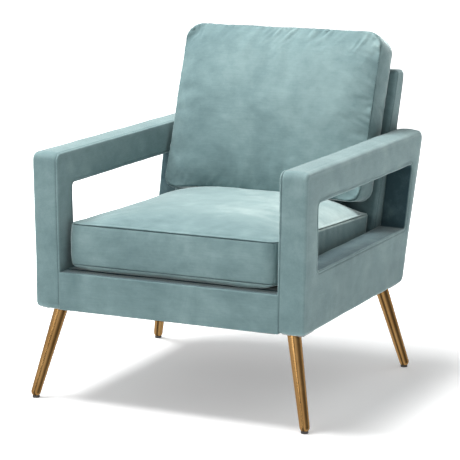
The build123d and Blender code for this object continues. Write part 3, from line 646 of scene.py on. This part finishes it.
def make_back():
    """The padded back between the arms: rounded edges, with a seam round its front and its rear."""
    depth = BACK_DEPTH
    height = BACK_TOP - UNDERSIDE
    half = SEAT_HALF
    low = np.array((-half, 0.0, 0.0))
    high = np.array((half, depth, height))
    radius = BACK_EDGE
    across = stations(-half, half, radius, 0.012, (-half + radius * 0.6, half - radius * 0.6))
    through = stations(0.0, depth, radius, 0.010, (radius * 1.2, depth - radius * 1.2))
    up = stations(0.0, height, radius, 0.012)
    points, faces = box_skin(across, through, up)
    nominal = points.copy()
    points = rounded(points, low, high, radius)
    band = (np.abs(nominal[:, 0]) > half - 1e-6) | (nominal[:, 2] > height - 1e-6)
    from_front = np.abs(nominal[:, 1] - radius * 1.2)
    from_rear = np.abs(nominal[:, 1] - depth + radius * 1.2)
    near_seam = np.minimum(from_front, from_rear)
    seam = np.where(band, np.clip(1 - near_seam / 0.003, 0, 1), 0.0)
    points[:, 1:] = round_top(points[:, 1:], depth, height)
    share = points[:, 1] / depth
    heights = points[:, 2] + UNDERSIDE
    fronts = np.array([back_front(z) for z in heights])
    rears = np.array([back_rear(z) for z in heights])
    points[:, 1] = fronts + share * (rears - fronts)
    points[:, 2] = heights
    points[:, 0] *= 1 + lean(heights) / half
    piece = new_piece("back_upholstery", points, faces, VELVET_ACROSS, {"seam": seam})
    # painted shade: the whole back is painted a little darker, as the shade behind the back cushion
    lay_nap_and_painted_light(piece.data, np.full(len(points), -0.10))
    fullness = 0.0008 * (1 - seam) + waves(points, 0.12, 31) * 0.0012 + waves(points, 0.04, 32) * 0.0004
    push_out(piece.data, fullness - seam * 0.0016)
    flatten_under(piece.data)
    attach(piece, "chair")
    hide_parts("back_cover", "back_foam")


DECK_TURN = 0.003  # the deck's cloth turns down this far at its front
DUST_SAG = 0.003
DUST_GRID = 50  # points along each side of the dust cover


def make_deck():
    """Cloth stretched over the springs' pad, under the seat cushion."""
    low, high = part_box("deck_cover")
    rows = [low.y - 0.0006, *np.linspace(low.y, high.y, 60)]
    columns = np.linspace(-SEAT_HALF - 0.001, SEAT_HALF + 0.001, 60)
    points = []
    for y in rows:
        for x in columns:
            turned_down = DECK_TURN if y < low.y else 0.0004
            points.append((x, y, high.z - turned_down - (y - low.y) * math.tan(SEAT_SLOPE)))
    faces = []
    for i in range(len(rows) - 1):
        for j in range(len(columns) - 1):
            a = i * len(columns) + j
            faces.append((a, a + 1, a + 1 + len(columns), a + len(columns)))
    piece = new_piece("deck_cloth", points, faces, VELVET_ACROSS)
    # painted shade: the deck's cloth, in the gap under the seat cushion, is painted dark
    lay_nap_and_painted_light(piece.data, np.full(len(points), -0.45))
    if piece.data.polygons[0].normal.z < 0:
        piece.data.flip_normals()
    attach(piece, "chair")
    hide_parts("deck_cover")


def make_dust_cover():
    """Thin black cloth stapled over the underside, sagging a little."""
    low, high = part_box("dust_cover")
    size = high - low
    shares = np.linspace(0, 1, DUST_GRID)
    points = []
    for v in shares:
        for u in shares:
            sag = DUST_SAG * (math.sin(math.pi * u) * math.sin(math.pi * v)) ** 0.7
            points.append((low.x + u * size.x, low.y + v * size.y, low.z + 0.0004 - sag))
    faces = []
    for i in range(DUST_GRID - 1):
        for j in range(DUST_GRID - 1):
            a = i * DUST_GRID + j
            faces.append((a, a + DUST_GRID, a + DUST_GRID + 1, a + 1))
    piece = new_piece("dust_cloth", points, faces, FINISHES["dust_cloth"])
    if piece.data.polygons[0].normal.z > 0:
        piece.data.flip_normals()
    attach(piece, "chair")
    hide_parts("dust_cover")


# ---------------------------------------------------------------- stitches and staples
class Layout:
    """A geometry node tree, with its named inputs."""

    def __init__(self, name, inputs):
        self.tree = bpy.data.node_groups.new(name, "GeometryNodeTree")
        interface = self.tree.interface
        interface.new_socket(name="Path", in_out="INPUT", socket_type="NodeSocketGeometry")
        self.inputs = {
            label: interface.new_socket(name=label, in_out="INPUT", socket_type="NodeSocket" + kind)
            for label, kind in inputs.items()
        }
        interface.new_socket(name="Copies", in_out="OUTPUT", socket_type="NodeSocketGeometry")
        self.given = self.node("NodeGroupInput")

    def node(self, kind, settings=None, sockets=None):
        made = self.tree.nodes.new(kind)
        for name, value in (settings or {}).items():
            setattr(made, name, value)
        for name, value in (sockets or {}).items():
            if isinstance(value, bpy.types.NodeSocket):
                self.tree.links.new(value, made.inputs[name])
            else:
                made.inputs[name].default_value = value
        return made


def repeat_layout(name, unit):
    """Node tree that sets a small unit at even steps along a path, turned along it."""
    layout = Layout(name, {"Spacing": "Float", "Size": "Vector", "Finish": "Material"})
    given = layout.given.outputs
    curve = layout.node("GeometryNodeMeshToCurve", {}, {"Mesh": given["Path"]})
    even = layout.node(
        "GeometryNodeResampleCurve", {"mode": "LENGTH"},
        {"Curve": curve.outputs[0], "Length": given["Spacing"]},
    )
    tangent = layout.node("GeometryNodeInputTangent")
    turn = layout.node(
        "FunctionNodeAlignRotationToVector", {"axis": "X"}, {"Vector": tangent.outputs[0]}
    )
    made = layout.node(unit)
    if unit == "GeometryNodeMeshUVSphere":
        made.inputs["Segments"].default_value = 6
        made.inputs["Rings"].default_value = 4
        made.inputs["Radius"].default_value = 0.5
    placed = layout.node(
        "GeometryNodeInstanceOnPoints", {},
        {"Points": even.outputs[0], "Instance": made.outputs[0], "Rotation": turn.outputs[0],
         "Scale": given["Size"]},
    )
    solid = layout.node("GeometryNodeRealizeInstances", {}, {"Geometry": placed.outputs[0]})
    finished = layout.node(
        "GeometryNodeSetMaterial", {}, {"Geometry": solid.outputs[0], "Material": given["Finish"]}
    )
    layout.node("NodeGroupOutput", {}, {"Copies": finished.outputs[0]})
    return layout


def repeated(name, loops, unit, spacing, size, material):
    """Copies of a unit along closed loops of points, as one piece on the chair."""
    points = np.concatenate(loops)
    edges = []
    start = 0
    for loop in loops:
        count = len(loop)
        edges += [(start + k, start + (k + 1) % count) for k in range(count)]
        start += count
    mesh = bpy.data.meshes.new(name)
    mesh.from_pydata([tuple(p) for p in points], edges, [])
    piece = bpy.data.objects.new(name, mesh)
    SCENE.collection.objects.link(piece)
    layout = repeat_layout(name + "_layout", unit)
    modifier = piece.modifiers.new("copies", "NODES")
    modifier.node_group = layout.tree
    for label, value in (("Spacing", spacing), ("Size", size), ("Finish", material)):
        modifier[layout.inputs[label].identifier] = value
    applied(piece)
    piece.data.shade_smooth()
    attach(piece, "chair")


def make_stitches():
    """Topstitching round both faces of each window."""
    inner, normal = outline(window_corners(), WINDOW_CORNERS, RING_STEPS)
    path = inner + normal * (STITCH_INSET + 0.0026)
    loops = []
    for side in (1, -1):
        for face in (1, -1):
            across = SEAT_HALF + lean(path[:, 1]) + ARM_THICK / 2 + face * (ARM_THICK / 2 + 0.0001)
            loops.append(np.stack((side * across, path[:, 0], path[:, 1]), axis=1))
    thread = plain("thread", (0.06, 0.11, 0.12), (0.11, 0.18, 0.19), 900.0, rough=0.6)
    repeated(
        "window_stitches", loops, "GeometryNodeMeshUVSphere", 0.0042, (0.0034, 0.0009, 0.0009),
        thread,
    )


def make_staples():
    """Staples that hold the dust cover to the frame."""
    low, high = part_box("dust_cover")
    inset = 0.007
    x, front, rear, z = high.x - inset, low.y + inset, high.y - inset, low.z - 0.0002
    loop = np.array(((-x, front, z), (x, front, z), (x, rear, z), (-x, rear, z)))
    repeated(
        "cover_staples", [loop], "GeometryNodeMeshCube", 0.045, (0.010, 0.0011, 0.0008),
        FINISHES["steel"],
    )


# ---------------------------------------------------------------- loose cushions
PLACES = ("across", "along", "deep")  # a point's place in the flat cut of its cushion


def set_weights(piece, name, weights):
    """A vertex group with a weight for each point."""
    group = piece.vertex_groups.new(name=name)
    for index in np.nonzero(weights > 0.01)[0]:
        group.add([int(index)], float(weights[index]), "REPLACE")


def smoothed(mesh, held, passes=3):
    """Even out a mesh's points among their neighbours, apart from those that are held."""
    points = read_points(mesh)
    ends = np.array([edge.vertices[:] for edge in mesh.edges])
    count = np.bincount(ends.ravel(), minlength=len(points))[:, None]
    for _ in range(passes):
        total = np.zeros_like(points)
        np.add.at(total, ends[:, 0], points[ends[:, 1]])
        np.add.at(total, ends[:, 1], points[ends[:, 0]])
        points += (total / count - points) * 0.5 * (1 - held)[:, None]
    write_points(mesh, points)


def fill_cushion(piece, pressure, growth, cap, frames=20):
    """Swell a sewn skin as its filling does, while its seams stay tight, and keep the result."""
    rest = read_points(piece.data)
    cloth = piece.modifiers.new("filling", "CLOTH")
    settings = cloth.settings
    settings.quality = 6
    settings.mass = 0.3
    settings.air_damping = 2.0
    settings.tension_stiffness = settings.compression_stiffness = 20.0
    settings.shear_stiffness = 10.0
    settings.bending_stiffness = 0.4
    settings.use_pressure = True
    settings.uniform_pressure_force = pressure
    settings.vertex_group_mass = "held"
    settings.vertex_group_shrink = "drawn"
    settings.shrink_min = -growth
    settings.shrink_max = 0.0
    settings.effector_weights.gravity = 0.0
    cloth.point_cache.frame_start = 1
    cloth.point_cache.frame_end = frames
    for number in range(1, frames + 1):
        SCENE.frame_set(number)
    applied(piece)
    SCENE.frame_set(1)
    moved = read_points(piece.data) - rest
    distance = np.linalg.norm(moved, axis=1, keepdims=True)
    held = cap * np.tanh(distance / cap)
    write_points(piece.data, rest + moved * held / np.maximum(distance, 1e-9))
    smoothed(piece.data, np.clip(read_mark(piece.data, "seam") * 1.5, 0, 1))


def soft_floor(values, floor, softness):
    """Keep values above a floor, levelling off smoothly near it."""
    return floor + softness * np.logaddexp(0.0, (values - floor) / softness)


def soft_limits(values, low, high, softness):
    """Keep values between two limits."""
    return high - soft_floor(high - soft_floor(values, low, softness), 0.0, softness)


def round_corners(points, low, high, radii):
    """Round the corners of the panels, seen square to them, by a radius at each end."""
    middle = (low + high) / 2
    size = (high - low) / 2
    flat = (points[:, :2] - middle[:2]) / size[:2]
    radius = np.where(flat[:, 1:] < 0, radii[0], radii[1])
    level = np.abs(flat).max(axis=1)
    edge = flat / np.maximum(level, 1e-9)[:, None] * size[:2]
    inner = np.clip(edge, -(size[:2] - radius), size[:2] - radius)
    away = edge - inner
    length = np.linalg.norm(away, axis=1, keepdims=True)
    bent = inner + away / np.maximum(length, 1e-9) * radius
    corner = (np.abs(away) > 1e-9).all(axis=1)
    bent = np.where(corner[:, None], bent, edge)
    moved = points.copy()
    moved[:, :2] = middle[:2] + bent * level[:, None]
    return moved


def sewn_skin(name, low, high, edge, corners, step, lower_seam=None):
    """A boxed cushion's cover as it is sewn: two panels and a boxing between them, meeting at seams."""
    seams = (lower_seam,) if lower_seam else ()
    grid = [stations(low[a], high[a], edge, step, seams if a == 2 else ()) for a in range(3)]
    flat, faces = box_skin(*grid)
    points = round_corners(rounded(flat, low, high, edge), low, high, corners)
    from_side = np.minimum(flat[:, :2] - low[:2], high[:2] - flat[:, :2]).min(axis=1)
    boxing = from_side < 1e-6
    from_panel = high[2] - flat[:, 2]
    if not lower_seam:
        from_panel = np.minimum(from_panel, flat[:, 2] - low[2])
    seam = np.where(boxing, np.clip(1 - from_panel / edge, 0, 1), 0.0)
    if lower_seam:
        seam = np.maximum(seam, boxing * np.clip(1 - np.abs(flat[:, 2] - lower_seam) / 0.0035, 0, 1))
    marks = {"seam": seam, "across": flat[:, 0], "along": flat[:, 1], "deep": flat[:, 2]}
    piece = new_piece(name, points, faces, VELVET_ACROSS, marks)
    set_weights(piece, "drawn", np.where(seam > 0.5, 1.0, boxing * 0.35))
    set_weights(piece, "held", np.where(seam > 0.5, 0.92, 0.0))
    return piece


def gathers(along, away, pitch, reach, seed, slant=0.3):
    """Short folds that run in from a seam, dying away from it."""
    place = np.stack(((along + slant * away) / pitch, away / (1.6 * reach), np.zeros(len(along))), axis=1)
    folds = np.abs(waves(place, 1.0, seed)) * 2.0
    patches = np.clip(0.7 + waves(np.stack((along, along * 0, away * 0), axis=1), 0.06, seed + 1), 0, 1.4)
    return folds * patches * np.exp(-away / reach) * np.clip(away / 0.004, 0, 1)


def settle(piece, start, slope):
    """Turn a cushion from its own flat axes to where it lies."""
    points = read_points(piece.data)
    along, out = math.cos(slope), math.sin(slope)
    y = start[0] + points[:, 1] * along - points[:, 2] * out
    z = start[1] + points[:, 1] * out + points[:, 2] * along
    write_points(piece.data, np.stack((points[:, 0], y, z), axis=1))


SEAT_EDGE = 0.005
SEAT_LENGTH = 0.5775
SEAT_THICK = 0.1145
SEAT_REAR_LEAN = 0.024  # its rear top edge leans back this far, against the back
SEAT_LOWER_SEAM = 0.0155
SEAT_CORNERS = (0.032, 0.012)  # at its front and at its rear
SEAT_SETBACK = 0.013  # its front edge behind the arms' front faces
DECK_HEIGHT = 0.094  # the rail's top over the underside
DECK_PROUD = 0.0036  # the deck over the rail
SEAT_GAP = 0.0004  # the seat cushion over the deck


def make_seat_cushion():
    """Boxed seat cushion: a crowned top, a seam round its top and a second seam low on its boxing."""
    limit = SEAT_HALF - 0.0055
    low = np.array((-limit + 0.003, 0.003, 0.0006))
    high = np.array((limit - 0.003, SEAT_LENGTH - 0.003, SEAT_THICK))
    piece = sewn_skin("seat_cushion", low, high, SEAT_EDGE, SEAT_CORNERS, 0.0085, SEAT_LOWER_SEAM)
    fill_cushion(piece, pressure=9.0, growth=0.014, cap=0.038)
    refined(piece)
    mesh = piece.data
    across, along, deep = (read_mark(mesh, mark) for mark in PLACES)
    seam = read_mark(mesh, "seam")
    points = read_points(mesh)
    top = deep > high[2] - SEAT_EDGE
    share = across / high[0]
    reach = np.abs(2 * along / SEAT_LENGTH - 1)
    crown = (0.041 + 0.085 * np.clip(along - 0.19, -0.15, 0.32)) * (1 - share**4) * (1 - reach**6)
    full = np.where(deep > high[2] - 1e-6, high[2] + crown, points[:, 2])
    points[:, 2] += 0.75 * (full - points[:, 2])
    points[:, 1] += SEAT_REAR_LEAN * deep / high[2] * np.clip((along - 0.3) / 0.27, 0, 1) ** 2
    under = np.clip((SEAT_LOWER_SEAM - deep) / SEAT_LOWER_SEAM, 0, 1)
    near_corner = np.clip((np.abs(across) - high[0] + 0.09) / 0.09, 0, 1) ** 2
    points[:, 2] = soft_floor(points[:, 2], 0.0006, 0.002) + 0.011 * under * near_corner
    points[:, 0] = soft_limits(points[:, 0], -limit, limit, 0.0015)
    points[:, 1] = soft_limits(points[:, 1], -0.006, SEAT_LENGTH + SEAT_REAR_LEAN * deep / high[2], 0.002)
    write_points(mesh, points)
    creases = waves(points, 0.10, 43) * 0.0012 + waves(points, 0.03, 44) * 0.0004
    creases += top * 0.0008 * (
        gathers(along, high[0] - across, 0.030, 0.030, 45) + gathers(along, across - low[0], 0.030, 0.030, 46)
        + gathers(across, along - low[1], 0.026, 0.018, 47)
    )
    push_out(mesh, creases * (1 - seam) - seam * seam * 0.0030)
    # painted sheen: the top panel is painted lighter towards its rear and its right side; the strip below the
    # lower seam is painted a little lighter
    painted_light = np.clip((along - 0.05) / 0.16, 0, 1) * (0.55 + 0.45 * across / high[0])
    lay_nap_and_painted_light(mesh, 0.34 * top * painted_light + 0.13 * (under > 0.05))
    foot = UNDERSIDE + DECK_HEIGHT + DECK_PROUD + SEAT_GAP - SEAT_SETBACK * math.tan(SEAT_SLOPE)
    settle(piece, (ARM_FRONT + SEAT_SETBACK, foot), -SEAT_SLOPE)
    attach(piece, "seat_cushion")
    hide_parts("seat_cushion_cover", "seat_cushion_filling")


BACK_CUSHION_EDGE = 0.006
BACK_CUSHION_RISE = 0.4345
BACK_CUSHION_DEPTH = 0.093
BACK_CUSHION_SETTLE = 0.005  # its front foot sinks this far, down to the seat
BACK_CUSHION_CORNERS = (0.036, 0.045)  # at its foot and at its top
BACK_CUSHION_FOOT = 0.4295  # how high it stands


def make_back_cushion():
    """Boxed back cushion: full in front, with gathers along its seams and softly rounded corners."""
    limit = SEAT_HALF - 0.006
    low = np.array((-limit + 0.002, 0.001, 0.002))
    high = np.array((limit - 0.002, BACK_CUSHION_RISE, BACK_CUSHION_DEPTH))
    piece = sewn_skin("back_cushion", low, high, BACK_CUSHION_EDGE, BACK_CUSHION_CORNERS, 0.0075)
    fill_cushion(piece, pressure=5.0, growth=0.030, cap=0.034)
    refined(piece)
    mesh = piece.data
    across, along, deep = (read_mark(mesh, mark) for mark in PLACES)
    seam = read_mark(mesh, "seam")
    points = read_points(mesh)
    points[:, 2] = soft_floor(points[:, 2], 0.0006, 0.003)
    points[:, 1] = soft_floor(points[:, 1], -0.002, 0.003)
    resting = np.clip((deep - 0.03) / 0.06, 0, 1) * np.clip(1 - along / 0.17, 0, 1) ** 1.5
    points[:, 1] -= (BACK_CUSHION_SETTLE + 0.012 * np.abs(across / high[0]) ** 4) * resting
    room = limit + 0.003 + 0.009 * np.clip((along - 0.16) / 0.06, 0, 1)
    points[:, 0] = soft_limits(points[:, 0], -room, room, 0.002)
    write_points(mesh, points)
    face = np.clip((deep - high[2] + BACK_CUSHION_EDGE) / BACK_CUSHION_EDGE, 0, 1)
    right_half = 0.45 + 0.55 * np.clip((across + 0.08) / 0.25, 0, 1)
    left_foot = np.clip(-across / high[0], 0, 1) * np.clip(1 - along / 0.15, 0, 1)
    folds = 0.0080 * right_half * gathers(across, high[1] - along, 0.017, 0.032, 55, 0.5)
    folds += 0.0055 * gathers(along, high[0] - across, 0.024, 0.042, 57, -0.3)
    folds += 0.0010 * gathers(along, across - low[0], 0.018, 0.022, 59)
    folds += (0.0010 + 0.0020 * left_foot) * gathers(across, along - low[1], 0.018, 0.030, 61, -0.6)
    creases = waves(points, 0.09, 53) * 0.0018 + waves(points, 0.03, 54) * 0.0005
    boxing_folds = (1 - face) * 0.0012 * gathers(across + along, high[2] - deep, 0.016, 0.018, 63)
    push_out(mesh, (creases + face * folds + boxing_folds) * (1 - seam) - seam * seam * 0.0030)
    # painted light: lighter towards the cushion's right side, painted shade towards its foot where it meets
    # the seat, and painted shade in the troughs of the folds on its face with painted highlight on their
    # ridges
    painted_light = 0.09 * across / high[0] - 0.06 * np.clip(1 - along / 0.10, 0, 1)
    lay_nap_and_painted_light(mesh, painted_light + face * (folds - folds.mean()) * 22.0)
    points = read_points(mesh)
    write_points(mesh, points[:, (0, 2, 1)] * (1, -1, 1))
    start = (back_front(BACK_CUSHION_FOOT) - 0.0008, BACK_CUSHION_FOOT)
    settle(piece, start, -BACK_FRONT_RAKE)
    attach(piece, "back_cushion")
    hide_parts("back_cushion_cover", "back_cushion_filling")


# ---------------------------------------------------------------- camera, floor and light
def make_camera():
    """Long lens, a little above the arms, from the chair's front right."""
    target = Vector((0.0287, ARM_FRONT + 0.3, 0.4004))
    azimuth = math.radians(24.72)
    elevation = math.radians(11.12)
    roll = math.radians(0.27)
    distance = 5.2065
    data = bpy.data.cameras.new("camera")
    data.lens = 164.3
    data.sensor_width = 36.0
    camera = bpy.data.objects.new("camera", data)
    away = Vector((
        math.sin(azimuth) * math.cos(elevation),
        -math.cos(azimuth) * math.cos(elevation),
        math.sin(elevation),
    ))
    camera.rotation_euler = (-away).to_track_quat("-Z", "Y").to_matrix().to_4x4().to_euler()
    camera.rotation_euler.rotate_axis("Z", roll)
    camera.location = target + away * distance
    SCENE.collection.objects.link(camera)
    SCENE.camera = camera


def make_light(name, place, target, size, power, colour=(1.0, 1.0, 1.0)):
    """A soft square light, aimed at a point."""
    data = bpy.data.lights.new(name, "AREA")
    data.size = size
    data.energy = power
    data.color = colour
    light = bpy.data.objects.new(name, data)
    light.location = place
    light.rotation_euler = (Vector(target) - Vector(place)).to_track_quat("-Z", "Y").to_euler()
    SCENE.collection.objects.link(light)


def make_surround():
    """White all round to the eye, and dimmer light and dark flats round the chair for its gloss."""
    world = bpy.data.worlds.new("surround")
    world.use_nodes = True
    nodes = world.node_tree.nodes
    link = world.node_tree.links.new
    bands = nodes.new("ShaderNodeTexWave")
    bands.inputs["Scale"].default_value = 0.26
    bands.inputs["Distortion"].default_value = 1.5
    bands.inputs["Phase Offset"].default_value = 0.8
    link(nodes.new("ShaderNodeTexCoord").outputs["Generated"], bands.inputs["Vector"])
    dim = nodes.new("ShaderNodeMapRange")
    dim.inputs["To Min"].default_value = 0.06
    dim.inputs["To Max"].default_value = 0.66
    link(bands.outputs["Fac"], dim.inputs["Value"])
    strength = nodes.new("ShaderNodeMapRange")
    strength.inputs["To Max"].default_value = 1.05
    link(nodes.new("ShaderNodeLightPath").outputs["Is Camera Ray"], strength.inputs["Value"])
    link(dim.outputs[0], strength.inputs["To Min"])
    link(strength.outputs[0], nodes["Background"].inputs["Strength"])
    nodes["Background"].inputs["Color"].default_value = (1.0, 1.0, 1.0, 1.0)
    SCENE.world = world


def make_studio():
    """A white floor, a white surround and two soft lights."""
    size = 30.0
    points = [(-size, -size, 0), (size, -size, 0), (size, size, 0), (-size, size, 0)]
    paper = Finish("pale_floor", Roughness=0.9, Base_Color=(0.86, 0.86, 0.86, 1.0), Emission_Strength=1.0)
    away = paper.node("ShaderNodeVectorMath", {"operation": "LENGTH"}, {0: paper.place((0.4, 0.4, 0.4))}, 1)
    glow = paper.ramp(away, ((0.30, (0.28, 0.28, 0.28)), (0.80, (1.0, 1.0, 1.0))))
    paper.drive(Emission_Color=glow)
    floor = new_piece("floor", points, [(0, 1, 2, 3)], paper.material)
    floor.location.z = -0.0004
    floor.visible_glossy = False
    make_surround()
    middle = (0.0, 0.0, 0.45)
    make_light("overhead", (-0.9, -0.2, 3.4), middle, 1.8, 215.0)
    make_light("front", (-1.6, -4.6, 1.9), middle, 2.5, 45.0)
    SCENE.view_settings.view_transform = "Standard"


# ---------------------------------------------------------------- assembly
def paint_nodes():
    """Give every CAD node that is still shown its finish."""
    slots = {entry["node"]: entry["material_slot"] for entry in frame["record"]["subparts"]}
    for name, node in frame["nodes"].items():
        node.data.materials.clear()
        node.data.materials.append(FINISHES[slots[name]])


paint_nodes()
make_camera()
make_studio()
for arm_side in (1, -1):
    make_arm(arm_side)
make_front_rail()
make_back()
make_deck()
make_dust_cover()
make_stitches()
make_staples()
make_seat_cushion()
make_back_cushion()
